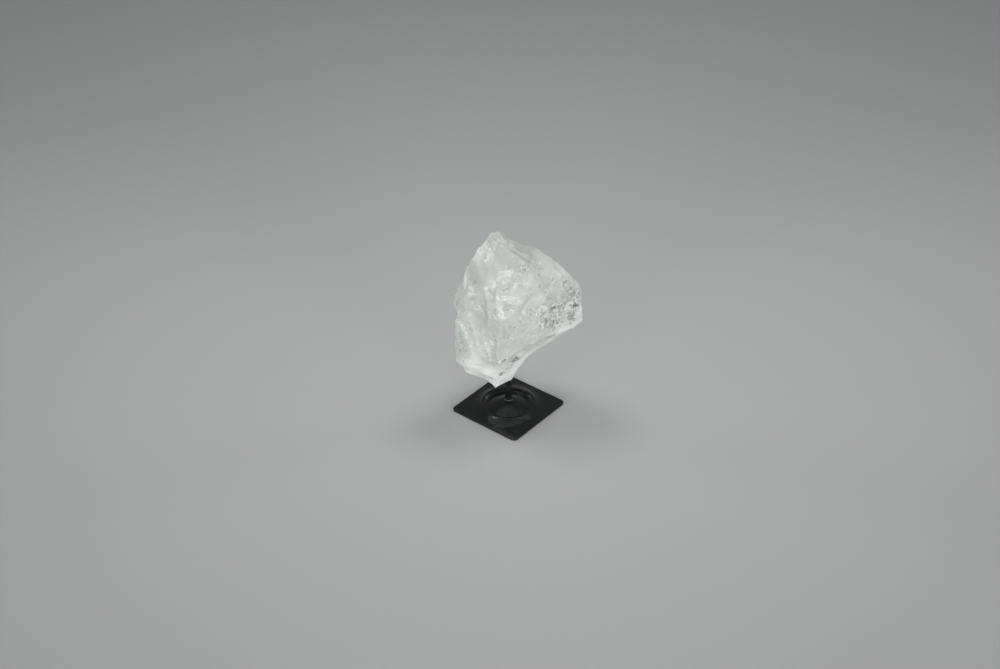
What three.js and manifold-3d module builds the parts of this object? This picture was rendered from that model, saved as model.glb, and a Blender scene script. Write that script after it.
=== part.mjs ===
// A rough piece of lemurian quartz on a black steel pin stand.
//
// Three separate pieces: the quartz, broken on every side and drilled from below; the round steel pin that
// holds it up; and the square stand plate, with a raised ring and a low cone round the foot of the pin.
//
// Millimetres, +Z up. The origin is the middle of the plate's underside, on the pin's axis, and -Y is the
// side that the quartz shows to the viewer.

import * as THREE from 'three';
import { mergeVertices } from 'three/addons/utils/BufferGeometryUtils.js';
import Module from 'manifold-3d';

const wasm = await Module();
wasm.setup();

// ---------------------------------------------------------------- driving dimensions

const GAP = 0.3; // clearance between pieces that touch

const PLATE_SIDE = 76;
const PLATE_EDGE_HEIGHT = 2.4;
const PLATE_CORNER_RADIUS = 3.5;
const PLATE_EDGE_ROUND = 0.7;
const PLATE_TURN = THREE.MathUtils.degToRad(-39); // the plate's sides against the quartz's front

const RING_FOOT_RADIUS = 36; // where the raised ring starts to leave the flat plate
const RING_CREST_RADIUS = 24.6;
const RING_CREST_HEIGHT = 3.5; // above the plate's face
const RING_INNER_RADIUS = 20.8; // the bottom of the ring's steep inner side
const CONE_RISE = 6.2; // of the cone's flat top above the plate's face
const CONE_TOP_RADIUS = 6;

const PIN_RADIUS = 3;
const PIN_TOP = 54;
const SOCKET_FLOOR = 1.4; // of the plate's blind hole for the pin
const WELD_RADIUS = 4.6;
const WELD_HEIGHT = 1.8;

const BORE_DEPTH_ABOVE_PIN = 1.5;

// ---------------------------------------------------------------- solids and booleans

// Welds a geometry's vertices by position and hands it to the boolean library as a closed solid.
function toSolid(geometry) {
  const bare = geometry.clone();
  bare.deleteAttribute('normal');
  bare.deleteAttribute('uv');
  const welded = mergeVertices(bare, 1e-4);
  return new wasm.Manifold(new wasm.Mesh({
    numProp: 3,
    vertProperties: new Float32Array(welded.attributes.position.array),
    triVerts: new Uint32Array(welded.index.array),
  }));
}

// The solid's surface as a flat-shaded geometry.
function toGeometry(solid) {
  const mesh = solid.getMesh();
  const indexed = new THREE.BufferGeometry();
  indexed.setAttribute('position', new THREE.BufferAttribute(mesh.vertProperties, 3));
  indexed.setIndex(new THREE.BufferAttribute(mesh.triVerts, 1));
  const faceted = indexed.toNonIndexed();
  faceted.computeVertexNormals();
  return faceted;
}

// An upright round bar from one height to another, on the pin's axis.
function uprightBar(radius, bottom, top, sides) {
  return new THREE.CylinderGeometry(radius, radius, top - bottom, sides)
    .rotateX(Math.PI / 2)
    .translate(0, 0, (bottom + top) / 2);
}

// A profile of [radius, height] pairs turned round the pin's axis.
function turned(profile, sides) {
  const points = profile.map(([r, z]) => new THREE.Vector2(r, z));
  return new THREE.LatheGeometry(points, sides).rotateX(Math.PI / 2);
}

// ---------------------------------------------------------------- stand plate

// A square with rounded corners, about the origin.
function roundedSquare(side, radius) {
  const h = side / 2;
  const shape = new THREE.Shape();
  shape.moveTo(-h + radius, -h);
  shape.absarc(h - radius, -h + radius, radius, -Math.PI / 2, 0);
  shape.absarc(h - radius, h - radius, radius, 0, Math.PI / 2);
  shape.absarc(-h + radius, h - radius, radius, Math.PI / 2, Math.PI);
  shape.absarc(-h + radius, -h + radius, radius, Math.PI, 1.5 * Math.PI);
  return shape;
}

// Height above the plate's face of the pressed round part: an outer slope that sweeps up to the ring's crest,
// a steeper inner side down to the foot of the cone, and the cone up to its flat top.
function pressedHeight(radius) {
  const ease = (t) => t * t * (3 - 2 * t);
  if (radius >= RING_CREST_RADIUS) {
    return RING_CREST_HEIGHT * ((RING_FOOT_RADIUS - radius) / (RING_FOOT_RADIUS - RING_CREST_RADIUS)) ** 2;
  }
  if (radius >= RING_INNER_RADIUS) {
    return RING_CREST_HEIGHT * ease((radius - RING_INNER_RADIUS) / (RING_CREST_RADIUS - RING_INNER_RADIUS));
  }
  return CONE_RISE * Math.min(1, (RING_INNER_RADIUS - radius) / (RING_INNER_RADIUS - CONE_TOP_RADIUS));
}

function standPlate() {
  const outline = roundedSquare(PLATE_SIDE - 2 * PLATE_EDGE_ROUND, PLATE_CORNER_RADIUS);
  const sheet = new THREE.ExtrudeGeometry(outline, {
    depth: PLATE_EDGE_HEIGHT - 2 * PLATE_EDGE_ROUND,
    bevelThickness: PLATE_EDGE_ROUND,
    bevelSize: PLATE_EDGE_ROUND,
    bevelSegments: 2,
    curveSegments: 5,
  }).translate(0, 0, PLATE_EDGE_ROUND).rotateZ(PLATE_TURN);

  const slopeSteps = 5;
  const profile = [[0, PLATE_EDGE_HEIGHT / 2], [RING_FOOT_RADIUS, PLATE_EDGE_HEIGHT / 2]];
  for (let i = 0; i <= slopeSteps; i++) {
    const r = THREE.MathUtils.lerp(RING_FOOT_RADIUS, RING_CREST_RADIUS, i / slopeSteps);
    profile.push([r, PLATE_EDGE_HEIGHT + pressedHeight(r)]);
  }
  for (let i = 1; i <= slopeSteps; i++) {
    const r = THREE.MathUtils.lerp(RING_CREST_RADIUS, RING_INNER_RADIUS, i / slopeSteps);
    profile.push([r, PLATE_EDGE_HEIGHT + pressedHeight(r)]);
  }
  profile.push([CONE_TOP_RADIUS, PLATE_EDGE_HEIGHT + CONE_RISE], [0, PLATE_EDGE_HEIGHT + CONE_RISE]);

  const socket = uprightBar(PIN_RADIUS + GAP, SOCKET_FLOOR, PLATE_EDGE_HEIGHT + CONE_RISE + 1, 24);
  return toGeometry(toSolid(sheet).add(toSolid(turned(profile, 40))).subtract(toSolid(socket)));
}

// ---------------------------------------------------------------- pin

// The pin stands in the plate's socket, with a small weld bead where it leaves the cone.
function pin() {
  const beadFoot = PLATE_EDGE_HEIGHT + CONE_RISE + GAP;
  const chamfer = 0.5;
  return turned([
    [0, SOCKET_FLOOR + GAP],
    [PIN_RADIUS, SOCKET_FLOOR + GAP],
    [PIN_RADIUS, beadFoot],
    [WELD_RADIUS, beadFoot],
    [WELD_RADIUS - 0.5, beadFoot + WELD_HEIGHT * 0.35],
    [PIN_RADIUS, beadFoot + WELD_HEIGHT],
    [PIN_RADIUS, PIN_TOP - chamfer],
    [PIN_RADIUS - chamfer, PIN_TOP],
    [0, PIN_TOP],
  ], 24);
}

// ---------------------------------------------------------------- quartz

// The quartz is a block with everything broken off it: flat faces first, then shell-like hollows where
// flakes have come away. Every point of what is left can be seen from its heart.
const HEART = new THREE.Vector3(4, -2, 108);
const BLOCK_SIZE = 240;

// The thin edge that runs round the quartz in one upright plane, clockwise from the peak as the viewer sees
// it: [x, z] of each corner, then how far the break faces that leave the edge towards the next corner lean
// towards the viewer and away. A lean of 0 runs straight back, and 90 would face the viewer.
const EDGE_Y = -4;
const EDGE = [
  [-9, 194.4, 16, 44],
  [1.5, 186.6, 8, 44],
  [24, 178, 9, 42],
  [38.5, 168.4, 14, 38],
  [61, 142.8, 40, 40],
  [65, 133.4, 46, 42],
  [66.4, 122, 50, 36],
  [68, 98.8, 38, 16],
  [20.8, 61.2, 44, 22],
  [1.4, 32, 46, 20],
  [-12, 24.8, 46, 26],
  [-24, 34, 44, 30],
  [-42.6, 42, 40, 34],
  [-48.4, 54.5, 40, 38],
  [-49.8, 92, 34, 44],
  [-49.6, 124.5, 30, 50],
  [-41, 160, 34, 40],
  [-17, 193, 24, 42],
];

// Flat break faces away from that edge: bearing of the face from the viewer's side towards +X, slope above
// level, and distance from the heart.
const FACES = [
  [-8, 50, 68],
  [16, -3, 34],
  [-40, 0, 39],
  [44, 6, 47],
  [-16, -32, 50],
  [30, -28, 49],
  [156, 6, 37],
  [212, -6, 37],
  [186, 38, 54],
  [176, -30, 48],
  [240, 22, 50],
];

// Shell-like hollows: middle, then the half lengths of the egg shape that was taken away.
const HOLLOWS = [
  { at: [-42, -60, 126], half: [30, 44, 68] }, // long channel down the left of the front
  { at: [-60.5, -7, 107.5], half: [15, 22, 13] }, // notches in the left edge
  { at: [-54, -8, 148], half: [14, 20, 14] },
  { at: [-2, -84, 232], half: [44, 70, 80] }, // the top slope
  { at: [8, -112, 150], half: [72, 76, 58] }, // under the top slope
  { at: [38, -100, 94], half: [48, 64, 36] }, // right of the front
  { at: [0, -84, 58], half: [34, 50, 26] }, // low on the front
  { at: [-20, 70, 132], half: [42, 38, 46] }, // back
  { at: [40, 62, 92], half: [34, 34, 30] },
  { at: [2, 58, 48], half: [30, 32, 26] },
];

// Chips all over, spread evenly and each a shallow bowl.
const CHIP_COUNT = 170;
const CHIP_SPREAD = [58, 36, 84]; // half lengths of the egg shape that the chips are spread evenly over
const CHIP_RADIUS = [22, 64];
const CHIP_DEPTH = [0.7, 2.2];
const GOLDEN_ANGLE = Math.PI * (3 - Math.sqrt(5));

// The broken lump isn't straight. From a little above its foot upwards it bends towards the viewer and away,
// along a line that slopes down to the back. Each wave: height, radians per mm along x and z, and phase.
const BEND_SLOPE = THREE.MathUtils.degToRad(34.4);
const BEND_FOOT = 38;
const BEND_FULL = 78;
const BEND_OFFSET = 2.5;
const BEND_WAVES = [
  [4.5, 0, 0.036, 0.6],
  [4, 0.045, -0.02, 2],
  [2.6, 0.05, 0.11, 4],
];

// The plane n . (p - HEART) = distance for a face of a given bearing and slope.
function facePlane([bearing, slope, distance]) {
  const b = THREE.MathUtils.degToRad(bearing);
  const s = THREE.MathUtils.degToRad(slope);
  const normal = new THREE.Vector3(Math.sin(b) * Math.cos(s), -Math.cos(b) * Math.cos(s), Math.sin(s));
  return { normal, distance };
}

// The plane that leaves one stretch of the edge towards the viewer (side -1) or away from them (side 1).
function edgePlane(index, side) {
  const [x, z, ...leans] = EDGE[index];
  const [nextX, nextZ] = EDGE[(index + 1) % EDGE.length];
  const lean = THREE.MathUtils.degToRad(side < 0 ? leans[0] : leans[1]);
  const normal = new THREE.Vector3(z - nextZ, 0, nextX - x).normalize().multiplyScalar(Math.cos(lean));
  normal.y = side * Math.sin(lean);
  return { normal, distance: normal.dot(new THREE.Vector3(x, EDGE_Y, z).sub(HEART)) };
}

// Whether the edge bends inwards at a corner.
function bendsInwards(index) {
  const [[ax, az], [bx, bz], [cx, cz]] = [EDGE.at(index - 1), EDGE[index], EDGE[(index + 1) % EDGE.length]];
  return (bx - ax) * (cz - bz) - (bz - az) * (cx - bx) > 0;
}

// Cuts, each a list of planes: a cut takes away what lies beyond all of its planes. The two faces at a
// corner that bends inwards make one cut, and every other face makes its own.
function edgeCuts(side) {
  const cuts = [];
  for (let i = 0; i < EDGE.length; i++) {
    if (bendsInwards(i)) {
      cuts.at(-1).push(edgePlane(i, side));
    } else {
      cuts.push([edgePlane(i, side)]);
    }
  }
  return cuts;
}

const CUTS = [...FACES.map((face) => [facePlane(face)]), ...edgeCuts(-1), ...edgeCuts(1)];

// How far a ray from the heart goes before it reaches a plane.
function reach({ normal, distance }, direction) {
  const towards = normal.dot(direction);
  return towards > 0 ? distance / towards : Infinity;
}

// The point where a ray from the heart leaves the flat-faced quartz, and the normal of the face there.
function faceMet(direction) {
  const met = { length: Infinity };
  for (const planes of CUTS) {
    const plane = planes.reduce((a, b) => (reach(b, direction) > reach(a, direction) ? b : a));
    if (reach(plane, direction) < met.length) {
      met.length = reach(plane, direction);
      met.normal = plane.normal;
    }
  }
  return { point: direction.clone().multiplyScalar(met.length).add(HEART), normal: met.normal };
}

// A repeatable number from 0 to 1.
function scatter(index, salt) {
  const s = Math.sin(index * 127.1 + salt * 311.7) * 43758.5453;
  return s - Math.floor(s);
}

// The ball whose near side makes one chip's bowl.
function chipBall(index) {
  const height = 1 - (2 * index + 1) / CHIP_COUNT;
  const turn = index * GOLDEN_ANGLE + 0.5 * scatter(index, 1);
  const level = Math.sqrt(1 - height * height);
  const direction = new THREE.Vector3(level * Math.cos(turn), level * Math.sin(turn), height)
    .multiply(new THREE.Vector3(...CHIP_SPREAD))
    .normalize();
  const { point, normal } = faceMet(direction);
  const radius = THREE.MathUtils.lerp(...CHIP_RADIUS, scatter(index, 2));
  const depth = THREE.MathUtils.lerp(...CHIP_DEPTH, scatter(index, 3));
  const middle = point.addScaledVector(normal, radius - depth);
  return new THREE.IcosahedronGeometry(radius, 4).rotateX(index).rotateY(2 * index).translate(...middle);
}

// A block that fills the space beyond a plane.
function beyond({ normal, distance }) {
  const block = new THREE.BoxGeometry(2 * BLOCK_SIZE, 2 * BLOCK_SIZE, BLOCK_SIZE)
    .translate(0, 0, distance + BLOCK_SIZE / 2)
    .applyQuaternion(new THREE.Quaternion().setFromUnitVectors(new THREE.Vector3(0, 0, 1), normal))
    .translate(...HEART);
  return toSolid(block);
}

// Moves a solid's points along the slope of the bend, by the sum of its waves.
function bent(solid) {
  const { vertProperties, triVerts } = solid.getMesh();
  for (let i = 0; i < vertProperties.length; i += 3) {
    const x = vertProperties[i];
    const z = vertProperties[i + 2];
    let move = BEND_OFFSET;
    for (const [height, alongX, alongZ, phase] of BEND_WAVES) {
      move += height * Math.sin(alongX * x + alongZ * z + phase);
    }
    move *= THREE.MathUtils.smoothstep(z, BEND_FOOT, BEND_FULL);
    vertProperties[i + 1] += move * Math.cos(BEND_SLOPE);
    vertProperties[i + 2] -= move * Math.sin(BEND_SLOPE);
  }
  return new wasm.Manifold(new wasm.Mesh({ numProp: 3, vertProperties, triVerts }));
}

function quartz() {
  const block = new THREE.BoxGeometry(BLOCK_SIZE, BLOCK_SIZE, BLOCK_SIZE).translate(...HEART);
  let solid = toSolid(block);
  for (const planes of CUTS) {
    solid = solid.subtract(planes.map(beyond).reduce((a, b) => a.intersect(b)));
  }
  for (const { at, half } of HOLLOWS) {
    solid = solid.subtract(toSolid(new THREE.IcosahedronGeometry(1, 9).scale(...half).translate(...at)));
  }
  for (let i = 0; i < CHIP_COUNT; i++) {
    solid = solid.subtract(toSolid(chipBall(i)));
  }
  const bore = uprightBar(PIN_RADIUS + GAP, 0, PIN_TOP + BORE_DEPTH_ABOVE_PIN, 24);
  return toGeometry(bent(solid).subtract(toSolid(bore)));
}

// ---------------------------------------------------------------- the object

const QUARTZ_FINISH = new THREE.MeshStandardMaterial({ color: 0xc9cdc9, roughness: 0.35, metalness: 0 });
const BLACK_FINISH = new THREE.MeshStandardMaterial({ color: 0x17191a, roughness: 0.3, metalness: 0 });

function piece(name, geometry, material) {
  const mesh = new THREE.Mesh(geometry, material);
  mesh.name = name;
  return mesh;
}

const specimen = new THREE.Group();
specimen.add(
  piece('stand_plate', standPlate(), BLACK_FINISH),
  piece('pin', pin(), BLACK_FINISH),
  piece('quartz_crystal', quartz(), QUARTZ_FINISH),
);

export default specimen;
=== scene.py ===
import bpy
import numpy as np
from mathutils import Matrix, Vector


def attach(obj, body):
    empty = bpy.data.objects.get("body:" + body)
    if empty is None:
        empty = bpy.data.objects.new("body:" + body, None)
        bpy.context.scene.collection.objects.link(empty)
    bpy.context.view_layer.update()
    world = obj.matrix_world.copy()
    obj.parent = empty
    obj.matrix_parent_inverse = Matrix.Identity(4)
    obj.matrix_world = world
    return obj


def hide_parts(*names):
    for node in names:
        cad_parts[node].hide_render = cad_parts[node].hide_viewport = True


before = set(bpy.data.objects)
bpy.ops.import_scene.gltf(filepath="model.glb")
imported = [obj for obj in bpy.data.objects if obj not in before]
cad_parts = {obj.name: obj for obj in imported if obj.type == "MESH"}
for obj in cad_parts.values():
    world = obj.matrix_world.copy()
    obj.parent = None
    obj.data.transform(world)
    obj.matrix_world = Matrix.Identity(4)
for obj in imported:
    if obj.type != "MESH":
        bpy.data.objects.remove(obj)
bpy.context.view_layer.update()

# ---------------------------------------------------------------- stand plate
# The stand's foot: a square of mild steel pressed into a raised ring with a low cone inside it. Its
# corners are rounded and its edge is dressed, and it is sprayed satin black together with the pin.

mm = 0.001
plate_side = 76.0
plate_thickness = 2.4
plate_corner = 4.2
plate_edge_round = 0.7
plate_turn = np.radians(-39)

# The pressed part's radii and heights, from the ring's outer foot in to the pin's socket.
ring_foot = 36.0
ring_crest = 24.6
ring_rise = 3.5
ring_inner_foot = 20.8
ring_rounding = 1.2
ring_sweep = 2.0
inner_lap = 0.5
cone_rise = 6.2
cone_top = 6.0
join_softness = 0.25
socket_lip = 3.6
socket_radius = 3.3
socket_floor = 1.4


def eased(t):
    """0 below 0, 1 above 1, and the cubic 3t^2 - 2t^3 between, which starts and ends level."""
    t = np.clip(t, 0, 1)
    return t * t * (3 - 2 * t)


def pressed_height(radius):
    """Height above the flat sheet at a distance from the pin: the soft maximum of the ring and the cone. The
    ring's outer side sweeps up as a power, its inner side is eased, and the crest between is rounded by the
    mean of the heights close by. The cone is a straight slope up to a flat top."""
    near = np.add.outer(np.linspace(-ring_rounding, ring_rounding, 9), radius)
    outer = np.clip((ring_foot - near) / (ring_foot - ring_crest), 0, 1) ** ring_sweep
    inner = eased((near - ring_inner_foot + inner_lap) / (ring_crest - ring_inner_foot + inner_lap))
    ring = ring_rise * np.where(near > ring_crest, outer, inner).mean(0)
    cone = cone_rise * (ring_inner_foot - radius) / (ring_inner_foot - cone_top)
    cone = np.minimum(cone, cone_rise)
    return join_softness * np.logaddexp(ring / join_softness, cone / join_softness)


def rounded_square(angle, half, corner):
    """Distance from the middle of a square with rounded corners to its outline at each angle: along the
    flat side it is half / max(|cos|, |sin|), and round a corner it is where the ray leaves the corner's
    circle."""
    across, along = np.abs(np.cos(angle)), np.abs(np.sin(angle))
    flat = half / np.maximum(across, along)
    middle = half - corner
    inward = middle * (across + along)
    rounded = inward + np.sqrt(np.maximum(corner**2 - 2 * middle**2 + inward**2, 0))
    return np.where(np.minimum(across, along) * flat > middle, rounded, flat)


def grid_mesh(name, points, first_pole=None, last_pole=None):
    """A mesh from a grid of points, rows by columns, in millimetres. Columns close round on themselves, and
    each end row closes in a fan on its pole, where one is given."""
    rows, columns = points.shape[:2]
    corner = np.arange(rows * columns).reshape(rows, columns)
    beside = np.roll(corner, -1, axis=1)
    quads = np.stack([corner[:-1], beside[:-1], beside[1:], corner[1:]], -1).reshape(-1, 4)
    spots, faces = [points.reshape(-1, 3)], quads.tolist()
    for pole, ring, after in ((first_pole, corner[0], -1), (last_pole, corner[-1], 1)):
        if pole is not None:
            middle = np.full(columns, sum(len(s) for s in spots))
            fan = np.stack([ring, np.roll(ring, -1), middle][::after], -1)
            spots.append(np.array([pole], float))
            faces += fan.tolist()
    mesh = bpy.data.meshes.new(name)
    mesh.from_pydata((np.concatenate(spots) * mm).tolist(), [], faces)
    mesh.shade_smooth()
    piece = bpy.data.objects.new(name, mesh)
    bpy.context.scene.collection.objects.link(piece)
    return piece


def turned_plate():
    """The plate's skin as rings: out along the underside, round the square's edge, in over the pressed part
    and down the pin's socket. Each ring is a circle, a rounded square, or a blend of the two."""
    around = np.linspace(0, 2 * np.pi, 400, endpoint=False)
    around += 0.17 * np.sin(4 * around)  # drawn closer together at the corners
    square = rounded_square(around, plate_side / 2, plate_corner)
    inset_square = square - plate_edge_round
    low_round = 0.4
    rings = [(inset_square * 0.5, 0.0), (inset_square - 1.0, 0.0)]
    for step in np.linspace(0, np.pi / 2, 5):
        rings.append((square - low_round * (1 - np.sin(step)), low_round * (1 - np.cos(step))))
    for step in np.linspace(np.pi / 2, 0, 7)[:-1]:
        inwards = plate_edge_round * (1 - np.sin(step))
        rings.append((square - inwards, plate_thickness - plate_edge_round * (1 - np.cos(step))))
    for share in (1.0, 0.97, 0.7, 0.35):
        rings.append((ring_foot + (inset_square - ring_foot) * share, plate_thickness))
    for radius in np.concatenate([np.linspace(ring_foot, socket_lip, 86), [socket_radius]]):
        rings.append((np.full_like(around, radius), plate_thickness + pressed_height(radius)))
    rings.append((np.full_like(around, socket_radius), socket_floor))
    radius = np.array([ring for ring, _ in rings])
    height = np.array([np.broadcast_to(z, around.shape) for _, z in rings])
    turn = around + plate_turn
    return np.stack([radius * np.cos(turn), radius * np.sin(turn), height], -1)


plate = grid_mesh("plate", turned_plate(), (0, 0, 0), (0, 0, socket_floor))


def add_node(tree, kind, inputs=None, **settings):
    """A node with its settings and its inputs, each a plain value or another node's output to wire in."""
    node = tree.nodes.new(kind)
    for name, value in settings.items():
        setattr(node, name, value)
    for name, value in (inputs or {}).items():
        if isinstance(value, bpy.types.NodeSocket):
            tree.links.new(value, node.inputs[name])
        else:
            node.inputs[name].default_value = value
    return node


def new_material(name):
    """A material with its node tree and the principled shader in it."""
    material = bpy.data.materials.new(name)
    material.use_nodes = True
    return material, material.node_tree, material.node_tree.nodes["Principled BSDF"]


def wire(tree, **outputs):
    """Wires outputs into the principled shader's inputs. An underscore in a name is a space."""
    shader = tree.nodes["Principled BSDF"]
    for name, output in outputs.items():
        tree.links.new(output, shader.inputs[name.replace("_", " ")])


def speckle_group():
    """Scattered specks in two sizes. Specks is 1 inside one, and Grain is fine even noise around 0.5."""
    group = bpy.data.node_groups.new("specks", "ShaderNodeTree")
    for name, kind, value in (
        ("Coordinates", "NodeSocketVector", None),
        ("Per Metre", "NodeSocketFloat", 400.0),
        ("Share", "NodeSocketFloat", 0.3),
        ("Softness", "NodeSocketFloat", 0.08),
    ):
        socket = group.interface.new_socket(name, in_out="INPUT", socket_type=kind)
        if value is not None:
            socket.default_value = value
    for name in ("Specks", "Grain"):
        group.interface.new_socket(name, in_out="OUTPUT", socket_type="NodeSocketFloat")
    given = group.nodes.new("NodeGroupInput").outputs
    noise = add_node(group, "ShaderNodeTexNoise", {
        "Vector": given["Coordinates"], "Scale": given["Per Metre"], "Detail": 4.0, "Roughness": 0.65,
    })
    low = add_node(group, "ShaderNodeMath", {0: 0.72, 1: given["Share"]}, operation="SUBTRACT")
    high = add_node(group, "ShaderNodeMath", {0: low.outputs[0], 1: given["Softness"]}, operation="ADD")
    specks = add_node(group, "ShaderNodeMapRange", {
        "Value": noise.outputs["Fac"], "From Min": low.outputs[0], "From Max": high.outputs[0],
    }, interpolation_type="SMOOTHSTEP")
    result = group.nodes.new("NodeGroupOutput")
    group.links.new(specks.outputs[0], result.inputs["Specks"])
    group.links.new(noise.outputs["Fac"], result.inputs["Grain"])
    return group


specks = speckle_group()
paint_black = (0.0035, 0.0038, 0.004, 1)
dust_grey = (0.05, 0.05, 0.05, 1)


def black_paint():
    """Satin black sprayed paint: nearly even colour, a fine orange peel, and a little pale dust."""
    material, tree, shader = new_material("black paint")
    place = add_node(tree, "ShaderNodeTexCoord").outputs["Object"]
    peel = add_node(tree, "ShaderNodeTexNoise", {"Vector": place, "Scale": 900.0, "Detail": 2.0})
    dust = add_node(tree, "ShaderNodeGroup", node_tree=specks)
    tree.links.new(place, dust.inputs["Coordinates"])
    dust.inputs["Per Metre"].default_value = 1500.0
    dust.inputs["Share"].default_value = 0.0
    dust.inputs["Softness"].default_value = 0.12
    smear = add_node(tree, "ShaderNodeTexNoise", {"Vector": place, "Scale": 45.0, "Detail": 3.0})
    colour = add_node(tree, "ShaderNodeMix", {
        "Factor": dust.outputs["Specks"], "A": paint_black, "B": dust_grey,
    }, data_type="RGBA")
    rough = add_node(tree, "ShaderNodeMapRange", {
        "Value": smear.outputs["Fac"], "From Min": 0.3, "From Max": 0.7, "To Min": 0.16, "To Max": 0.26,
    })
    bump = add_node(tree, "ShaderNodeBump", {
        "Height": peel.outputs["Fac"], "Strength": 0.25, "Distance": 0.00006,
    })
    wire(tree, Base_Color=colour.outputs["Result"], Roughness=rough.outputs[0], Normal=bump.outputs[0])
    shader.inputs["Specular IOR Level"].default_value = 0.4
    return material


paint = black_paint()
plate.data.materials.append(paint)
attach(plate, "root")
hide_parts("stand_plate")

# ---------------------------------------------------------------- pin
# A 6 mm steel rod, glued into the plate's socket and held by a small ring of weld. Its upper half is
# inside the quartz, glued into a hole drilled from below.

pin_radius = 3.0
pin_top = 54.0
pin_bottom = socket_floor + 0.3
end_round = 0.6
bead_radius = 4.6
bead_height = 1.8


def turned_pin():
    """The pin's profile carried round its axis: bare end, weld bead, shaft and rounded top. The bead's
    radius has two sine waves round it, which fade above and below by a bell curve."""
    around = np.linspace(0, 2 * np.pi, 64, endpoint=False)
    foot = plate_thickness + cone_rise
    bead_width = bead_radius - pin_radius
    profile = [(pin_radius, pin_bottom), (pin_radius, foot - 0.3), (bead_radius, foot - 0.2)]
    for step in np.linspace(0, np.pi / 2, 8):
        profile.append((bead_radius - bead_width * np.sin(step), foot + bead_height * (1 - np.cos(step))))
    for height in np.linspace(foot + bead_height + 1, pin_top - end_round, 12):
        profile.append((pin_radius, height))
    for step in np.linspace(0, np.pi / 2, 5)[1:]:
        inwards = end_round * (1 - np.cos(step))
        profile.append((pin_radius - inwards, pin_top - end_round * (1 - np.sin(step))))
    radius, height = np.array(profile).T
    in_bead = np.exp(-((height - foot - 0.4) / 0.8) ** 2) * (radius > pin_radius)
    lobes = 0.16 * np.sin(7 * around) + 0.1 * np.sin(12 * around + 1)
    radius = radius[:, None] + in_bead[:, None] * lobes
    return np.stack([radius * np.cos(around), radius * np.sin(around), height[:, None] + 0 * around], -1)


pin = grid_mesh("pin_rod", turned_pin(), (0, 0, pin_bottom), (0, 0, pin_top))
pin.data.materials.append(paint)
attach(pin, "root")
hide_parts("pin")

# ---------------------------------------------------------------- quartz
# One lump broken from a large lemurian crystal, bounded by flat and shell-like breaks and drilled from
# below for the pin. Fresh breaks are glassy, bruised ridges are white, and veils make the middle milky.

# The middle that the flat breaks are measured from, and the half lengths of the egg shape that the lump
# roughly fills.
heart = np.array([4.0, -2.0, 108.0])
egg_half = np.array([58.0, 36.0, 84.0])

# The thin edge round the quartz: x and z of each corner in one upright plane, clockwise from the peak, then
# how far in degrees the breaks that leave it towards the next corner lean to the front and to the back.
edge_y = -4.0
edge = np.array([
    [-9, 194.4, 16, 44],
    [1.5, 186.6, 8, 44],
    [24, 178, 9, 42],
    [38.5, 168.4, 14, 38],
    [61, 142.8, 40, 40],
    [65, 133.4, 46, 42],
    [66.4, 122, 50, 36],
    [68, 98.8, 38, 16],
    [20.8, 61.2, 44, 22],
    [1.4, 32, 46, 20],
    [-12, 24.8, 46, 26],
    [-24, 34, 44, 30],
    [-42.6, 42, 40, 34],
    [-48.4, 54.5, 40, 38],
    [-49.8, 92, 34, 44],
    [-49.6, 124.5, 30, 50],
    [-41, 160, 34, 40],
    [-17, 193, 24, 42],
])

# Flat breaks away from that edge: bearing from the front towards +X, slope above level, and distance in
# millimetres from the heart.
flats = np.array([
    [-8, 50, 68],
    [16, -3, 34],
    [-40, 0, 39],
    [44, 6, 47],
    [-16, -32, 50],
    [30, -28, 49],
    [156, 6, 37],
    [212, -6, 37],
    [186, 38, 54],
    [176, -30, 48],
    [240, 22, 50],
])

# Shell-like hollows, each the near side of an egg shape: its middle and its half lengths.
hollows = np.array([
    [[-42, -60, 126], [30, 44, 68]],
    [[-60.5, -7, 107.5], [15, 22, 13]],
    [[-54, -8, 148], [14, 20, 14]],
    [[-2, -84, 232], [44, 70, 80]],
    [[8, -112, 150], [72, 76, 58]],
    [[38, -100, 94], [48, 64, 36]],
    [[0, -84, 58], [34, 50, 26]],
    [[-20, 70, 132], [42, 38, 46]],
    [[40, 62, 92], [34, 34, 30]],
    [[2, 58, 48], [30, 32, 26]],
])


def flat_planes():
    """Each flat break as a unit normal and its distance from the heart."""
    bearing, slope = np.radians(flats[:, 0]), np.radians(flats[:, 1])
    level = np.cos(slope)
    normal = np.stack([np.sin(bearing) * level, -np.cos(bearing) * level, np.sin(slope)], -1)
    return normal, flats[:, 2]


def edge_planes(side):
    """The breaks that leave the edge to the front (side -1) or the back (side 1). A stretch's own outward
    normal lies in the edge's plane, and its break's normal is that one leaned towards the side."""
    after = np.roll(edge, -1, axis=0)
    lean = np.radians(edge[:, 2] if side < 0 else edge[:, 3])
    outward = np.stack([edge[:, 1] - after[:, 1], after[:, 0] - edge[:, 0]], -1)
    outward /= np.linalg.norm(outward, axis=1, keepdims=True)
    normal = np.stack([outward[:, 0] * np.cos(lean), side * np.sin(lean), outward[:, 1] * np.cos(lean)], -1)
    corner = np.stack([edge[:, 0], np.full(len(edge), edge_y), edge[:, 1]], -1) - heart
    return normal, (normal * corner).sum(1)


def bends_inwards():
    """Whether the edge turns inwards at each corner: the cross product of the stretches that meet there."""
    corner = edge[:, :2]
    before, after = corner - np.roll(corner, 1, axis=0), np.roll(corner, -1, axis=0) - corner
    return before[:, 0] * after[:, 1] - before[:, 1] * after[:, 0] > 0


def cuts():
    """Lists of planes. A cut takes away what is beyond all of its planes, so the two breaks at an inward
    corner make one cut and every other break makes its own."""
    made = [[plane] for plane in zip(*flat_planes())]
    inward = bends_inwards()
    for side in (-1, 1):
        for index, plane in enumerate(zip(*edge_planes(side))):
            if inward[index]:
                made[-1].append(plane)
            else:
                made.append([plane])
    return made


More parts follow.
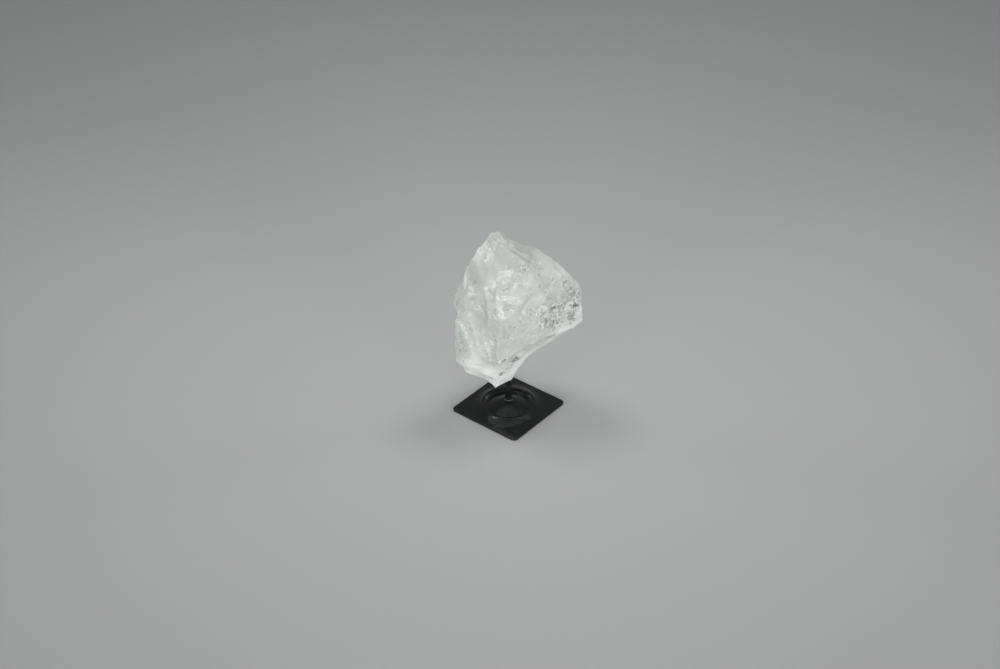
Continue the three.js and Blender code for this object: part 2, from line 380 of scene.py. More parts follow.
def plane_reach(ray, start, plane):
    """How far each ray goes from its start before it meets a plane: the start's distance over the ray's
    lean to the normal, or no end for a ray that leads away."""
    normal, distance = plane
    towards = ray @ normal
    short = distance - (start - heart) @ normal
    return np.where(towards > 1e-9, short / np.maximum(towards, 1e-9), np.inf)


def egg_reach(ray, start, middle, half):
    """How far each ray goes from its start to the near side of an egg shape: the smaller root of the
    quadratic |start + t ray - middle| = 1 in units of the half lengths, or no end for a ray that misses."""
    scaled = ray / half
    away = (middle - start) / half
    square, along = (scaled**2).sum(1), scaled @ away
    inside = along**2 - square * (away @ away - 1)
    hit = (inside > 0) & (along > 0)
    return np.where(hit, (along - np.sqrt(np.maximum(inside, 0))) / square, np.inf)


break_cuts = cuts()


def flat_skin(ray, start):
    """Reach of each ray to the flat-faced lump, and the normal of the face that it meets."""
    reach = np.full(len(ray), np.inf)
    normal = np.zeros((len(ray), 3))
    for planes in break_cuts:
        each = np.array([plane_reach(ray, start, plane) for plane in planes])
        furthest = each.argmax(0)
        nearer = each.max(0) < reach
        reach = np.minimum(reach, each.max(0))
        normal[nearer] = np.array([plane[0] for plane in planes])[furthest[nearer]]
    return reach, normal


def scatter(index, salt):
    """A repeatable number from 0 to 1: the fraction left of a large multiple of a sine."""
    s = np.sin(index * 127.1 + salt * 311.7) * 43758.5453
    return s - np.floor(s)


def bowls(ray, radius, depth, eggs=()):
    """Balls whose near sides are shallow bowls in the lump that is left after its flat faces and the given
    eggs, one where each ray leaves it: their middles and radii. A ball's middle stands off the face by its
    radius less the bowl's depth."""
    ray = ray / np.linalg.norm(ray, axis=1, keepdims=True)
    reach, normal = flat_skin(ray, heart)
    for middle, half in eggs:
        reach = np.minimum(reach, egg_reach(ray, heart, middle, half))
    return heart + ray * reach[:, None] + normal * (radius - depth)[:, None], radius


def chip_balls(count, radii, depths, salt):
    """Bowls spread evenly by the golden angle over an egg shape, of mixed radius and depth."""
    index = np.arange(count)
    height = 1 - (2 * index + 1) / count
    turn = index * np.pi * (3 - np.sqrt(5)) + 0.5 * scatter(index, salt)
    level = np.sqrt(1 - height**2)
    ray = np.stack([level * np.cos(turn), level * np.sin(turn), height], -1) * egg_half
    radius = radii[0] + (radii[1] - radii[0]) * scatter(index, salt + 1)
    depth = depths[0] + (depths[1] - depths[0]) * scatter(index, salt + 2)
    return bowls(ray, radius, depth)


large_chips = chip_balls(170, (22, 64), (0.7, 2.2), 1)
small_chips = chip_balls(4200, (3.5, 16), (0.2, 0.8), 5)

# The lump isn't straight. From a little above its foot upwards it bends to the front and back along a line
# that slopes down to the back. Each wave: height, radians per millimetre along x and z, and phase.
bend_slope = np.radians(34.4)
bend_foot = 38.0
bend_full = 78.0
bend_offset = 2.5
bend_waves = np.array([
    [4.5, 0, 0.036, 0.6],
    [4, 0.045, -0.02, 2],
    [2.6, 0.05, 0.11, 4],
])


def bent(points):
    """Points moved along the slope of the bend by the sum of its sine waves, eased in above the foot."""
    x, z = points[..., 0], points[..., 2]
    move = bend_offset
    for height, along_x, along_z, phase in bend_waves:
        move = move + height * np.sin(along_x * x + along_z * z + phase)
    move = move * eased((z - bend_foot) / (bend_full - bend_foot))
    return points + move[..., None] * (0, np.cos(bend_slope), -np.sin(bend_slope))


# Shell breaks that stand out: a place on the skin, then the radius and depth of the bowl there.
shells = np.array([
    [-3, -37, 160, 19, 2.6],
    [-3, -38, 158, 9, 2.9],
    [14, -36, 164, 17, 1.8],
    [27, -33, 161, 20, 1.8],
    [24, -27, 171, 14, 1.4],
    [38, -22, 156, 18, 1.5],
    [-16, -33, 150, 16, 1.5],
    [-13, -38, 138, 12, 0.8],
    [18, -34, 124, 30, 0.8],
    [2, -39, 118, 34, 0.6],
    [-6, -40, 101, 26, 0.9],
    [32, -29, 118, 22, 1.4],
    [50, -16, 124, 20, 1.5],
    [-24, -26, 95, 18, 1.4],
    [-38, -15, 80, 20, 1.6],
    [16, 38, 140, 24, 2.2],
    [-18, 32, 108, 20, 1.8],
    [-14, -37, 99, 17, 1.5],
    [-4, -38, 91, 15, 1.5],
    [-14, -36, 82, 16, 1.8],
    [-3, -36, 73, 15, 1.6],
    [-18, -32, 68, 18, 1.6],
    [10, -32, 84, 22, 1.4],
])
landmark_bowls = bowls(shells[:, :3] - heart, shells[:, 3], shells[:, 4], hollows)

# Narrow valleys where two breaks meet: both ends, width and depth.
valleys = np.array([
    [-9, -6, 191, -3, -15, 185, 2.4, 1.3],
    [-3, -15, 185, 9, -19, 180, 2.2, 1.2],
    [9, -19, 180, 17, -25, 175, 2.0, 1.0],
    [17, -25, 175, 24, -32, 169, 1.6, 0.8],
    [26, -33, 157, 20, -34, 145, 2.2, 0.9],
    [20, -34, 145, 9, -37, 128, 2.0, 1.0],
    [27, -33, 161, 36, -26, 151, 1.8, 0.8],
    [-36, -17, 133, -30, -22, 112, 2.6, 0.8],
    [-42, -12, 101, -37, -16, 92, 1.6, 0.9],
    [-32, -22, 84, -20, -31, 88, 2.0, 0.7],
    [20, -32, 108, 24, -28, 98, 2.4, 0.7],
])

# Places low on the front where the edges between the breaks are worn round: middle, reach and strength. The
# wear starts as far from an edge as the distance below them.
worn = np.array([
    [-41, -5, 45, 10, 0.8],
    [-31, -20, 57, 12, 1.0],
    [-20, -26, 62, 13, 1.0],
    [-9, -30, 66, 14, 1.0],
    [1, -25, 68, 13, 1.0],
    [10, -23, 76, 12, 1.0],
    [20, -24, 83, 12, 1.0],
    [32, -25, 92, 12, 0.9],
    [-8, -18, 48, 10, 0.8],
])
wear_reach = 18.0

# Bruised places, where small flakes have burst off white. Here and in the next four lists each row is a
# place's middle, its reach across the skin and its strength.
bruises = np.array([
    [-26, -8, 174, 6, 1.0],
    [-29, -9, 169, 6, 1.0],
    [-34, -6, 162, 5, 0.9],
    [-22, -6, 181, 5, 0.8],
    [-34, -18, 145, 4, 0.9],
    [-34, -18, 137, 3.5, 0.9],
    [-33, -19, 129, 4, 0.9],
    [-27, -23, 126, 5, 1.0],
    [-35, -18, 117, 4, 0.8],
    [-33, -20, 106, 3, 0.8],
    [-32, -22, 98, 3, 0.8],
    [-22, -27, 122, 3, 0.7],
    [-23, -27, 135, 3.5, 0.7],
    [-14, -35, 158, 5, 1.2],
    [-9, -36, 164, 4.5, 0.8],
    [-1, -38, 164, 5, 0.8],
    [5, -37, 159, 3.5, 1.0],
    [-10, -38, 148, 3, 1.0],
    [-8, -40, 136, 4.5, 1.2],
    [-8, -41, 130, 4.5, 1.1],
    [-12, -38, 126, 4, 1.0],
    [-11, -39, 121, 3.5, 0.9],
    [-3, -40, 127, 3, 0.6],
    [3, -37, 146, 4, 0.6],
    [-42, -12, 100, 5, 1.0],
    [-38, -15, 94, 3, 0.8],
    [-34, -21, 83, 3.5, 1.0],
    [-19, -32, 88, 4.5, 1.1],
    [-15, -35, 97, 3.5, 0.8],
    [-17, -33, 74, 5, 0.7],
    [-11, -23, 55, 5, 0.8],
    [-35, -20, 58, 4, 0.7],
    [2, -12, 184, 4, 0.8],
    [13, -18, 179, 2.5, 0.8],
    [20, -25, 175, 3, 1.0],
    [27, -19, 171, 2.5, 0.8],
    [26, -34, 159, 3.5, 0.9],
    [15, -37, 160, 5, 0.5],
    [35, -27, 147, 3, 0.8],
    [14, -35, 129, 4, 0.6],
    [45, -20, 98, 4, 0.9],
    [28, -30, 102, 4, 0.6],
    [45, -20, 134, 8, 0.5],
    [50, -17, 119, 5, 0.5],
    [14, 38, 128, 10, 0.9],
    [-26, 30, 88, 8, 0.8],
    [44, 18, 146, 8, 0.8],
    [30, 26, 78, 8, 0.8],
    [-30, 24, 150, 7, 0.9],
    [4, 38, 160, 7, 0.8],
    [56, 8, 110, 6, 0.8],
])

# Granular, see-through places, where many small clean breaks let the dark inside show.
windows = np.array([
    [54, -13, 139, 6, 0.9],
    [60, -8, 130, 6, 1.0],
    [58, -10, 119, 8, 1.2],
    [55, -13, 109, 7, 1.0],
    [42, -23, 112, 8, 1.0],
    [33, -29, 114, 7, 1.0],
    [41, -23, 127, 8, 0.8],
    [31, -30, 126, 5, 0.8],
    [30, -30, 134, 5, 0.6],
    [49, -14, 147, 8, 0.7],
    [38, -22, 155, 6, 0.6],
    [26, -32, 165, 5, 0.7],
    [13, -31, 173, 5, 1.0],
    [8, -35, 168, 4, 0.6],
    [-3, -37, 155, 4, 0.6],
    [12, -31, 174, 5, 0.8],
    [21, -31, 105, 7, 0.5],
    [-4, -36, 79, 5, 1.5],
    [-10, -35, 71, 5, 0.8],
    [6, -17, 65, 6, 1.6],
    [1, -15, 56, 6, 1.0],
    [-6, -18, 52, 5, 1.4],
    [-16, -11, 41, 3, 0.8],
    [-30, 28, 120, 14, 0.8],
    [20, 34, 60, 10, 0.8],
    [48, 16, 118, 12, 0.8],
    [0, 34, 172, 9, 0.6],
    [54, -14, 124, 22, 0.55],
    [38, -24, 116, 18, 0.5],
    [34, -28, 140, 16, 0.35],
    [26, -33, 160, 9, 0.55],
    [18, -30, 171, 10, 0.4],
    [2, -20, 62, 14, 0.45],
])

# Feathered places, crossed by fine white inner cracks.
feathers = np.array([
    [-31, -20, 141, 9, 0.8],
    [-30, -20, 128, 8, 0.7],
    [-15, -35, 158, 8, 0.9],
    [-14, -35, 143, 9, 0.9],
    [-15, -35, 129, 9, 0.9],
    [-2, -32, 170, 8, 0.9],
    [0, -37, 157, 10, 0.9],
    [10, -36, 160, 10, 0.7],
    [4, -38, 144, 7, 0.8],
    [-36, -17, 99, 8, 0.8],
    [-35, -18, 86, 8, 0.8],
    [-23, -28, 101, 9, 0.8],
    [-22, -29, 88, 9, 0.9],
    [-30, -4, 169, 10, 0.9],
    [21, -31, 99, 8, 0.6],
    [18, -30, 170, 12, 0.6],
    [20, 34, 120, 16, 0.7],
    [-24, 30, 70, 16, 0.6],
    [-10, 34, 165, 14, 0.6],
    [50, 10, 130, 12, 0.6],
])

# Clean glassy breaks: almost no grain or frost. Their grey in the colour is partly the darker look of clear
# quartz and partly painted shade, made strongest on the top slope, where the high lights fall, to darken it.
glassy_and_shaded_places = np.array([
    [-14, -14, 180, 10, 0.8],
    [-8, -14, 186, 6, 0.8],
    [-29, -17, 158, 9, 0.6],
    [-30, -20, 152, 8, 0.9],
    [-44, -11, 122, 7, 0.8],
    [2, -39, 134, 8, 0.8],
    [-3, -40, 110, 12, 0.9],
    [4, -38, 118, 9, 0.9],
    [22, -32, 126, 7, 0.6],
    [27, -31, 141, 6, 0.6],
    [-42, -10, 82, 8, 0.8],
    [-40, -13, 69, 9, 0.8],
    [36, -20, 90, 8, 0.7],
    [-10, 36, 140, 16, 0.9],
    [28, 28, 110, 14, 0.9],
    [-34, 20, 70, 14, 0.8],
])

# Milky places, where fine inner breaks turn the quartz nearly white. Their whitening is partly that and
# partly painted light, which lifts the underside and the low right edge where they face down, away from the
# lights.
milk_and_painted_light_places = np.array([
    [-32, -22, 62, 16, 0.9],
    [-14, -20, 52, 18, 1.0],
    [-10, -8, 34, 16, 1.2],
    [8, -14, 58, 14, 0.9],
    [50, -18, 98, 14, 0.6],
    [27, -31, 141, 9, 0.5],
    [30, -14, 172, 14, 0.5],
    [48, -6, 156, 12, 0.5],
    [64, -4, 112, 9, 0.6],
    [-6, -38, 162, 12, 0.4],
    [-28, -6, 176, 12, 0.5],
    [30, 24, 150, 20, 0.6],
    [-20, 30, 60, 20, 0.7],
    [60, -8, 94, 11, 1.0],
    [50, -9, 86, 11, 1.1],
    [40, -10, 78, 11, 1.1],
    [30, -10, 70, 11, 1.1],
    [21, -10, 62, 11, 1.1],
    [-44, -8, 50, 10, 0.9],
    [-34, -10, 43, 11, 1.1],
    [-22, -8, 36, 11, 1.1],
    [8, -8, 46, 12, 1.0],
])


def patches(points, spots):
    """How far each point is inside the patches: the largest of their bell curves, each as strong and as
    wide as the patch says."""
    depth = np.zeros(len(points))
    for *middle, width, strength in spots:
        square = ((points - middle) ** 2).sum(1) / width**2
        depth = np.maximum(depth, strength * np.exp(-square))
    return depth


def carved(points):
    """Depth of the valleys at each point: for each one a bell curve of the distance to its line."""
    depth = np.zeros(len(points))
    for *ends, width, deepest in valleys:
        first, last = np.array(ends[:3]), np.array(ends[3:])
        line = last - first
        share = np.clip((points - first) @ line / (line @ line), 0, 1)
        square = ((points - first - share[:, None] * line) ** 2).sum(1) / width**2
        depth = np.maximum(depth, deepest * np.exp(-square))
    return depth


def shards(points, cell, salt):
    """Height of small tilted breaks: space is cut into cells round scattered centres, and each cell is a
    plane through its centre with a tilt of its own."""
    spot = points / cell
    corner = np.floor(spot)
    nearest = np.full(len(points), np.inf)
    height = np.zeros(len(points))
    for step in np.ndindex(3, 3, 3):
        own = corner + step - np.ones(3)
        name = own @ (1.0, 57.0, 113.0)
        centre = own + np.stack([scatter(name, salt + k) for k in range(3)], -1)
        away = spot - centre
        square = (away**2).sum(1)
        tilt = np.stack([scatter(name, salt + k) for k in (3, 4, 5)], -1) - 0.5
        closer = square < nearest
        nearest = np.where(closer, square, nearest)
        height = np.where(closer, (away * tilt).sum(1), height)
    return height * cell


# The point on the pin's axis that every ray leaves, how far in radians a ray may pass from the middle of a
# small chip that it meets, the width of a chip's rim, and how many rays are worked out at a time.
start = np.array([0.0, 0.0, 108.0])
chip_spread = 0.15
rim_width = 0.09
batch = 20000


def chipped_reach(ray, reach):
    """Reach after the small chips, and how close each place is to a small chip's rim. Only a ray that
    passes near a chip's middle is set against its ball."""
    middles, radii = small_chips
    wear = np.maximum(patches(middles, bruises), 0.7 * patches(middles, windows))
    kept = scatter(np.arange(len(middles)), 9) < 0.2 + wear - 0.15 * patches(middles, glassy_and_shaded_places)
    middles, radii = middles[kept] - start, radii[kept]
    towards = middles / np.linalg.norm(middles, axis=1, keepdims=True)
    chipped, rim = reach.copy(), np.zeros(len(ray))
    for first in range(0, len(ray), batch):
        part = slice(first, first + batch)
        row, chip = np.nonzero(ray[part] @ towards.T > np.cos(chip_spread))
        along = (ray[part][row] * middles[chip]).sum(1)
        inside = along**2 - (middles[chip] ** 2).sum(1) + radii[chip] ** 2
        hit = inside > 0
        near, row = along[hit] - np.sqrt(inside[hit]), first + row[hit]
        np.minimum.at(chipped, row, near)
        np.maximum.at(rim, row, np.exp(-np.abs(near - reach[row]) / rim_width))
    return chipped, rim


ridge_width = 0.5
ridge_wear = 0.2
large_shard = 5.0
small_shard = 2.4


def skin(ray):
    """Reach of each ray from the start to the quartz's skin, and what the skin is like there: a mark from 0
    to about 1 for each of ridge, rim, bruise, window, feather, glassy break, which also carries painted
    shade, and milkiness, which also carries painted light. The reach is to the nearest of the faces, hollows
    and chips. An edge is worn by the square of how far the ray is inside the wear's reach, and rough places
    stand out and in by the height of their shards."""
    nearest, _ = flat_skin(ray, start)
    second = np.full(len(ray), np.inf)
    shapes = [(middle, half) for middle, half in hollows]
    for middles, radii in (large_chips, landmark_bowls):
        shapes += [(middle, np.full(3, radius)) for middle, radius in zip(middles, radii)]
    for middle, half in shapes:
        reach = egg_reach(ray, start, middle, half)
        second = np.minimum(second, np.maximum(nearest, reach))
        nearest = np.minimum(nearest, reach)
    points = start + ray * nearest[:, None]
    wear = patches(points, worn)
    ridge = np.exp(-(second - nearest) / ridge_width) * (1 - np.minimum(wear, 1))
    across = np.maximum(wear_reach * wear, 1e-6)
    nearest -= across * np.clip(1 - (second - nearest) / across, 0, 1) ** 2 / 4
    points = start + ray * nearest[:, None]
    bruise, window, feather, glassy_and_shaded, milk_and_painted_light = (
        patches(points, spots) for spots in (bruises, windows, feathers, glassy_and_shaded_places, milk_and_painted_light_places))
    reach, rim = chipped_reach(ray, nearest - carved(points))
    rough = np.clip(0.15 + 1.1 * bruise + window + 0.5 * feather - 0.15 * glassy_and_shaded, 0, 1.2)
    reach -= ridge_wear * ridge
    splinters = 0.26 * shards(points, large_shard, 11) + 0.3 * shards(points, small_shard, 21)
    reach += rough * splinters
    marks = {
        "ridge": ridge, "rim": rim, "bruise": bruise, "window": window, "feather": feather,
        "glassy_and_shaded": glassy_and_shaded, "milk_and_painted_light": milk_and_painted_light,
    }
    return reach, marks


# Rays round and from foot to top, then the drilled hole: its radius, its end and the rings of its wall.
columns, rows = 640, 480
bore_radius = socket_radius
bore_top = 55.5
wall_rings = 4


def quartz_points():
    """The lump as rings round the pin's axis, from the mouth of the drilled hole to the top. A ring's rays
    leave a point on the axis, spread evenly over an egg shape. The first ring is on the hole's rim, which a
    few rounds of nearing find, and the hole's wall goes up from it."""
    around = np.linspace(0, 2 * np.pi, columns, endpoint=False)

    def rays(fall):
        """Unit rays towards an egg shape, at an angle from straight down: its half lengths times the point
        of the unit sphere there."""
        ray = np.stack([
            egg_half[0] * np.sin(fall) * np.cos(around),
            egg_half[1] * np.sin(fall) * np.sin(around),
            -egg_half[2] * np.cos(fall) * np.ones_like(around),
        ], -1)
        return ray / np.linalg.norm(ray, axis=-1, keepdims=True)

    mouth = np.full(columns, 0.05)
    for _ in range(12):
        ray = rays(mouth)
        reach, _ = skin(ray)
        mouth = mouth * bore_radius / (reach * np.hypot(ray[:, 0], ray[:, 1]))
    share = np.linspace(0, 1, rows + 1)[:-1, None]
    fall = mouth + (np.pi - mouth) * share
    ray = rays(fall).reshape(-1, 3)
    reach, marks = skin(ray)
    points = bent(start + ray * reach[:, None]).reshape(rows, columns, 3)
    top_reach, _ = skin(np.array([[0.0, 0.0, 1.0]]))
    peak = bent(start + (0, 0, top_reach[0]))
    wall = points[:1].repeat(wall_rings, axis=0)
    wall[:, :, 2] = bore_top + (points[0, :, 2] - bore_top) * np.linspace(0, 0.75, wall_rings)[:, None]
    bare = np.zeros(wall_rings * columns)
    marks = {name: np.concatenate([bare, mark, (0, 0)]) for name, mark in marks.items()}
    return np.concatenate([wall, points]), (0, 0, bore_top), peak, marks


quartz_triangles = 197000
crease_angle = np.radians(24)


def thinned(piece, triangles):
    """The piece with its flat stretches joined into larger triangles, so that the ridges keep the small
    ones, and with its creases sharp."""
    cut = piece.modifiers.new("thin", "DECIMATE")
    cut.ratio = triangles / sum(len(face.vertices) - 2 for face in piece.data.polygons)
    whole = piece.evaluated_get(bpy.context.evaluated_depsgraph_get())
    piece.data, used = bpy.data.meshes.new_from_object(whole), piece.data
    piece.modifiers.clear()
    bpy.data.meshes.remove(used)
    piece.data.set_sharp_from_angle(angle=crease_angle)


points, bore_end, peak, marks = quartz_points()
quartz = grid_mesh("quartz", points, bore_end, peak)
for name, mark in marks.items():
    quartz.data.attributes.new(name, "FLOAT", "POINT").data.foreach_set("value", mark.astype(np.float32))
thinned(quartz, quartz_triangles)


def shard_group():
    """Small flat breaks at every tilt, with uneven outlines. Height is, in each Voronoi cell, how far the
    place is along that cell's own random direction, and Shade is one random value for the cell."""
    group = bpy.data.node_groups.new("shards", "ShaderNodeTree")
    group.interface.new_socket("Coordinates", in_out="INPUT", socket_type="NodeSocketVector")
    group.interface.new_socket("Per Metre", in_out="INPUT", socket_type="NodeSocketFloat")
    for name in ("Height", "Shade"):
        group.interface.new_socket(name, in_out="OUTPUT", socket_type="NodeSocketFloat")
    given = group.nodes.new("NodeGroupInput").outputs
    scaled = add_node(group, "ShaderNodeVectorMath", {0: given["Coordinates"], "Scale": given["Per Metre"]},
                      operation="SCALE")
    wander = add_node(group, "ShaderNodeTexNoise", {
        "Vector": scaled.outputs[0], "Scale": 1.3, "Detail": 2.0,
    })
    uneven = add_node(group, "ShaderNodeVectorMath", {
        0: wander.outputs["Color"], 1: (0.9, 0.9, 0.9), 2: scaled.outputs[0],
    }, operation="MULTIPLY_ADD")
    cells = add_node(group, "ShaderNodeTexVoronoi", {"Vector": uneven.outputs[0], "Scale": 1.0})
    away = add_node(group, "ShaderNodeVectorMath", {0: scaled.outputs[0], 1: cells.outputs["Position"]},
                    operation="SUBTRACT")
    tilt = add_node(group, "ShaderNodeVectorMath", {0: cells.outputs["Color"], 1: (0.5, 0.5, 0.5)},
                    operation="SUBTRACT")
    height = add_node(group, "ShaderNodeVectorMath", {0: away.outputs[0], 1: tilt.outputs[0]},
                      operation="DOT_PRODUCT")
    shade = add_node(group, "ShaderNodeSeparateColor", {"Color": cells.outputs["Color"]})
    result = group.nodes.new("NodeGroupOutput")
    group.links.new(height.outputs["Value"], result.inputs["Height"])
    group.links.new(shade.outputs["Red"], result.inputs["Shade"])
    return group


shard_breaks = shard_group()

cloud_grey = (0.52, 0.55, 0.52, 1)
cloud_pale = (0.61, 0.635, 0.605, 1)
veil_pale = (0.78, 0.79, 0.77, 1)
# The glassy grey is partly the darker look of clear breaks and partly painted shade on the lit top slope.
glassy_and_shaded_grey = (0.48, 0.51, 0.48, 1)
# The milk white is partly milky quartz and partly painted light on the underside and low edges.
milk_and_painted_light_white = (0.93, 0.945, 0.93, 1)
deep_grey = (0.42, 0.45, 0.44, 1)
frost_white = (0.92, 0.90, 0.895, 1)
dark_break = (0.09, 0.10, 0.10, 1)
flake_white = (0.98, 0.985, 0.975, 1)


def quartz_stone():
    """Clear to cloudy white quartz: a pale body with soft clouds and veils, white flakes and cracks where it
    is bruised or feathered, a patchwork of dark and frosted breaks in its windows, shiny on smooth breaks
    and duller where it is granular. Its colour also holds painted shade, greyer on the lit top slope, and
    painted light, whiter on the underside and low edges. A skin's marks set how much there is of each."""
    material, tree, shader = new_material("quartz stone")
    place = add_node(tree, "ShaderNodeTexCoord").outputs["Object"]
    mark = {
        name: add_node(tree, "ShaderNodeAttribute", attribute_name=name).outputs["Fac"] for name in marks
    }

    def maths(operation, first, second=0.0, third=0.0):
        """One sum or comparison of up to three numbers."""
        node = add_node(tree, "ShaderNodeMath", {0: first, 1: second, 2: third}, operation=operation)
        return node.outputs[0]

    def spread(value, low, high, bottom=0.0, top=1.0):
        """The stretch of a value from low to high, eased onto the stretch from bottom to top."""
        return add_node(tree, "ShaderNodeMapRange", {
            "Value": value, "From Min": low, "From Max": high, "To Min": bottom, "To Max": top,
        }, interpolation_type="SMOOTHSTEP").outputs[0]

    def noise(scale, detail, distortion=0.0):
        """Soft noise from 0 to 1 with so many lumps to the metre."""
        return add_node(tree, "ShaderNodeTexNoise", {
            "Vector": place, "Scale": scale, "Detail": detail, "Distortion": distortion,
        }).outputs["Fac"]

    def mixed(share, first, second):
        """Two colours mixed, the second one by its share."""
        return add_node(tree, "ShaderNodeMix", {"Factor": share, "A": first, "B": second},
                        data_type="RGBA").outputs["Result"]

    def speck(per_metre, share, softness):
        """Specks that cover more of the stone where their share is higher."""
        node = add_node(tree, "ShaderNodeGroup", node_tree=specks)
        tree.links.new(place, node.inputs["Coordinates"])
        node.inputs["Per Metre"].default_value = per_metre
        tree.links.new(share, node.inputs["Share"])
        node.inputs["Softness"].default_value = softness
        return node.outputs["Specks"]

    def shard(per_metre):
        """Height and shade of small tilted breaks, so many to the metre."""
        node = add_node(tree, "ShaderNodeGroup", node_tree=shard_breaks)
        tree.links.new(place, node.inputs["Coordinates"])
        node.inputs["Per Metre"].default_value = per_metre
        return node.outputs

    coarse, fine = shard(430.0), shard(1250.0)

    # White: flakes, the small facets between them, the worn ridges and chip rims, and thin broken cracks.
    edges = maths("MAXIMUM", maths("MULTIPLY", mark["ridge"], 0.5), maths("MULTIPLY", mark["rim"], 0.5))
    bruised = maths("MAXIMUM", mark["bruise"], edges)
    flakes = speck(460.0, maths("MULTIPLY", bruised, 0.28), 0.05)
    facets = maths("MULTIPLY_ADD", fine["Shade"], 0.5, maths("MULTIPLY", mark["bruise"], 0.5))
    facets = spread(facets, 0.66, 0.8)
    sparks = maths("MULTIPLY_ADD", coarse["Shade"], 0.25, maths("MULTIPLY", bruised, 0.12))
    sparks = spread(sparks, 0.27, 0.3)
    white = maths("MAXIMUM", flakes, maths("MULTIPLY", facets, 0.55))
    white = maths("MAXIMUM", white, maths("MULTIPLY", sparks, 0.5))
    cracks = [
        spread(maths("ABSOLUTE", maths("SUBTRACT", noise(scale, 4.0, 1.4), 0.5)), 0.005, width, 1.0, 0.0)
        for scale, width in ((230.0, 0.024), (420.0, 0.036))
    ]
    feathered = maths("MAXIMUM", mark["feather"], mark["bruise"])
    cracked = maths("MULTIPLY", spread(noise(140.0, 2.0), 0.42, 0.56), spread(feathered, 0.05, 0.7))
    white = maths("MAXIMUM", white, maths("MULTIPLY", maths("MAXIMUM", *cracks), cracked))

    # Crushed: in its windows the quartz is a patchwork of small breaks, some clear and dark, some frosted,
    # crossed by thin broken strokes where a clean break shows the depth.
    patch = maths("MULTIPLY_ADD", coarse["Shade"], 0.45, maths("MULTIPLY", fine["Shade"], 0.25))
    patch = maths("MULTIPLY_ADD", noise(310.0, 3.0, 0.6), 0.6, patch)
    zone = spread(mark["window"], 0.05, 0.7)
    opened = maths("MULTIPLY_ADD", mark["window"], -0.2, patch)
    clear = maths("MULTIPLY", spread(opened, 0.34, 0.56, 1.0, 0.0), zone)
    frosted = maths("MULTIPLY", spread(patch, 0.68, 0.84), zone)
    line = spread(maths("ABSOLUTE", maths("SUBTRACT", noise(190.0, 3.0, 0.5), 0.5)), 0.01, 0.055, 1.0, 0.0)
    depth = speck(150.0, maths("MULTIPLY", mark["window"], 0.3), 0.16)
    strokes = maths("MULTIPLY", maths("MULTIPLY", line, zone), maths("MULTIPLY_ADD", depth, 0.5, 0.2))
    dark = maths("MAXIMUM", strokes, maths("MULTIPLY", clear, maths("MULTIPLY_ADD", depth, 0.4, 0.6)))

    # Colour: the greenish grey body and its clouds, paler veils, a glassy grey that is also painted shade
    # and a milkiness that is also painted light, then the breaks over them.
    clouds = spread(noise(34.0, 4.0, 0.8), 0.38, 0.62)
    veils = spread(noise(130.0, 5.0, 1.2), 0.42, 0.7)
    body = mixed(clouds, cloud_grey, cloud_pale)
    body = mixed(maths("MULTIPLY", veils, 0.4), body, veil_pale)
    # Glassy grey: the darker look of clear breaks, and painted shade that darkens the top slope where the
    # high lights fall.
    body = mixed(maths("MULTIPLY", mark["glassy_and_shaded"], 0.4), body, glassy_and_shaded_grey)
    # Milkiness: whiter quartz, and painted light that lifts the underside and the low edges facing away from
    # the lights.
    body = mixed(spread(mark["milk_and_painted_light"], 0.0, 1.0), body, milk_and_painted_light_white)
    body = mixed(maths("MULTIPLY", depth, 0.3), body, deep_grey)
    body = mixed(maths("MULTIPLY", frosted, 0.8), body, frost_white)
    colour = mixed(maths("MULTIPLY", dark, 0.9), body, dark_break)
    colour = mixed(white, colour, flake_white)

    # Surface: shiny on clean breaks, duller and faceted by small breaks where it is granular.
    grained = maths("MAXIMUM", bruised, mark["window"])
    granular = spread(maths("MULTIPLY_ADD", mark["feather"], 0.5, grained), 0.1, 0.7)
    frost = spread(noise(60.0, 4.0), 0.4, 0.62)
    rough = maths("MULTIPLY_ADD", frost, 0.16, 0.3)
    rough = maths("MULTIPLY_ADD", mark["glassy_and_shaded"], -0.12, rough)
    rough = maths("MULTIPLY_ADD", granular, 0.08, rough)
    height = maths("MULTIPLY_ADD", fine["Height"], 0.5, coarse["Height"])
    height = maths("MULTIPLY", height, maths("MULTIPLY_ADD", granular, 0.85, 0.15))
    height = maths("MULTIPLY_ADD", noise(700.0, 5.0), 0.25, height)
    bump = add_node(tree, "ShaderNodeBump", {"Height": height, "Strength": 0.7, "Distance": 0.0007})
    wire(tree, Base_Color=colour, Roughness=rough, Normal=bump.outputs[0])
    shader.inputs["IOR"].default_value = 1.54
    shader.inputs["Transmission Weight"].default_value = 0.5
    shader.inputs["Subsurface Weight"].default_value = 0.5
    shader.inputs["Subsurface Radius"].default_value = (1, 1, 1)
    shader.inputs["Subsurface Scale"].default_value = 0.006
    return material


quartz.data.materials.append(quartz_stone())
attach(quartz, "root")
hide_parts("quartz_crystal")

# ---------------------------------------------------------------- setting
# A pale matt floor, even light from all round and three pairs of soft lights: two high on either side, two
# wide ones low in front and two small ones low at the sides, which pick out the edges.

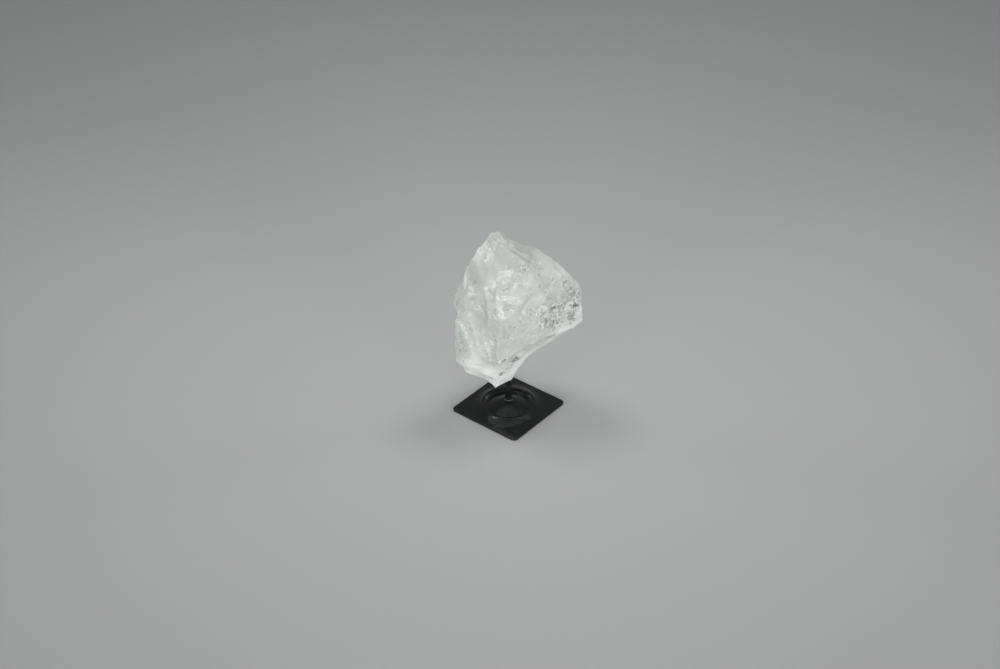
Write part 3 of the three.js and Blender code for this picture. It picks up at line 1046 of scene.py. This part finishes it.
floor_half = 12.0
floor_grey = (0.4, 0.4, 0.4, 1)
floor_corners = [(x * floor_half, y * floor_half, 0) for x, y in ((-1, -1), (1, -1), (1, 1), (-1, 1))]
floor_mesh = bpy.data.meshes.new("floor")
floor_mesh.from_pydata(floor_corners, [], [(0, 1, 2, 3)])
floor = bpy.data.objects.new("floor", floor_mesh)
bpy.context.scene.collection.objects.link(floor)
floor_material, _, floor_shader = new_material("pale floor")
floor_shader.inputs["Base Color"].default_value = floor_grey
floor_shader.inputs["Roughness"].default_value = 0.8
floor_mesh.materials.append(floor_material)

world = bpy.data.worlds.new("studio")
world.use_nodes = True
world.node_tree.nodes["Background"].inputs["Color"].default_value = (0.55, 0.56, 0.57, 1)
world.node_tree.nodes["Background"].inputs["Strength"].default_value = 0.5
bpy.context.scene.world = world

light_target = Vector((0, 0, 0.1))


def soft_light(name, place, width, height, power, spread=180):
    """A flat lamp at a place, in metres, aimed at the middle of the quartz. Its light spreads over an angle
    in degrees."""
    lamp = bpy.data.lights.new(name, "AREA")
    lamp.shape = "RECTANGLE"
    lamp.size, lamp.size_y = width, height
    lamp.energy = power
    lamp.spread = np.radians(spread)
    light = bpy.data.objects.new(name, lamp)
    bpy.context.scene.collection.objects.link(light)
    light.location = place
    light.rotation_euler = (light_target - Vector(place)).to_track_quat("-Z", "Y").to_euler()


soft_light("left light", (-0.42, 0.2, 1.3), 0.42, 0.42, 4.3)
soft_light("right light", (0.45, 0.2, 1.3), 0.42, 0.42, 4.8)
soft_light("low left light", (-0.8, -1.2, 0.22), 0.9, 0.38, 1.4, 40)
soft_light("low right light", (0.8, -1.2, 0.22), 0.9, 0.38, 1.4, 40)
soft_light("far left light", (-1.4, 0.5, 0.3), 0.4, 0.4, 0.3, 40)
soft_light("far right light", (1.4, 0.5, 0.3), 0.4, 0.4, 0.3, 40)

camera_fall = np.radians(34.43)
lens = bpy.data.cameras.new("camera")
lens.lens = 60
lens.sensor_width = 36
lens.clip_start = 0.01
camera = bpy.data.objects.new("camera", lens)
camera.location = (-0.008, -1.2524, 0.9408)
camera.rotation_euler = (np.pi / 2 - camera_fall, 0, 0)
bpy.context.scene.collection.objects.link(camera)
bpy.context.scene.camera = camera
bpy.context.scene.view_settings.view_transform = "Standard"
